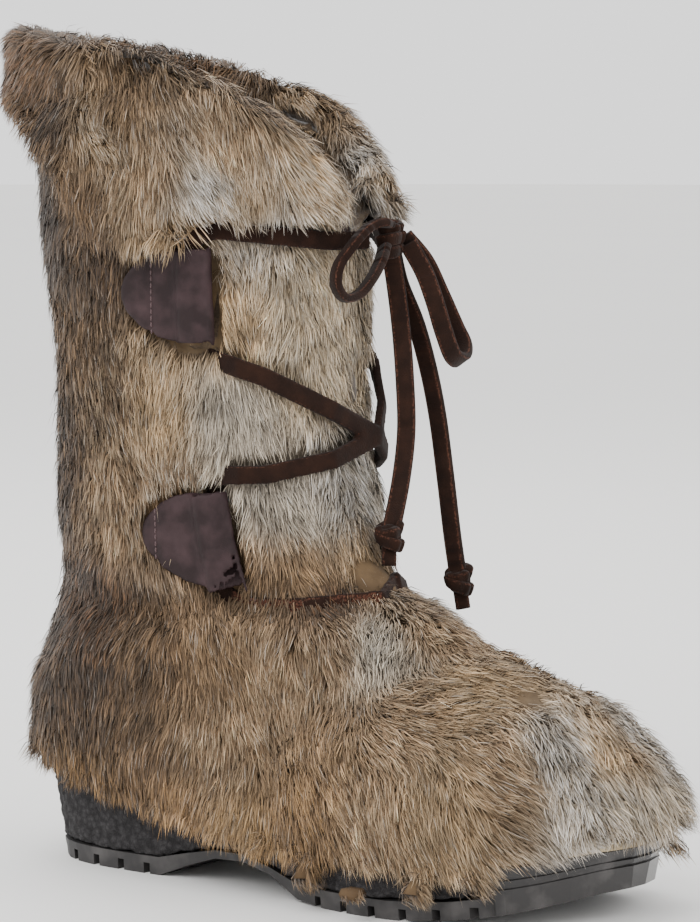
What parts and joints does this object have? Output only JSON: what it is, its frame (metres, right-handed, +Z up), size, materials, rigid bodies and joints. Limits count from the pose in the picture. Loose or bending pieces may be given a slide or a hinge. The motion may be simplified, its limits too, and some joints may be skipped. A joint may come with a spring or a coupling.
{
  "type": "mukluk boot",
  "caption": "Right fur winter boot with a turned-down fur cuff, a front slit laced with a suede thong through half-moon leather tabs, and a rubber wedge sole.",
  "frame": {"origin": "on the floor, in the middle of the heel's tread", "axes": "+X towards the toe, +Y towards the inner side of the foot, +Z up"},
  "size_m": [0.3131, 0.1456, 0.346],
  "materials": {
    "rubber": "moulded black rubber, semi-gloss on the toe bumper",
    "sidewall": "moulded dark grey rubber with a rough crumb texture",
    "fur": "deep fur, tan to grey-brown with cream tips",
    "leather": "smooth dark aubergine-brown leather",
    "suede": "dark brown suede with paler cut edges",
    "felt": "wool felt footbed and lining"
  },
  "bodies": {
    "root": {"outsole": "rubber", "midsole": "sidewall", "insole": "felt", "upper": "fur", "cuff": "fur", "tongue": "leather", "tab_outer_top": "leather", "tab_inner_top": "leather", "tab_outer_bottom": "leather", "tab_inner_bottom": "leather", "lacing": "suede", "bow_knot": "suede", "bow_loop_outer": "suede", "bow_loop_inner": "suede", "lace_end_outer": "suede", "end_knot_outer": "suede", "lace_end_inner": "suede", "end_knot_inner": "suede"}
  },
  "joints": []
}
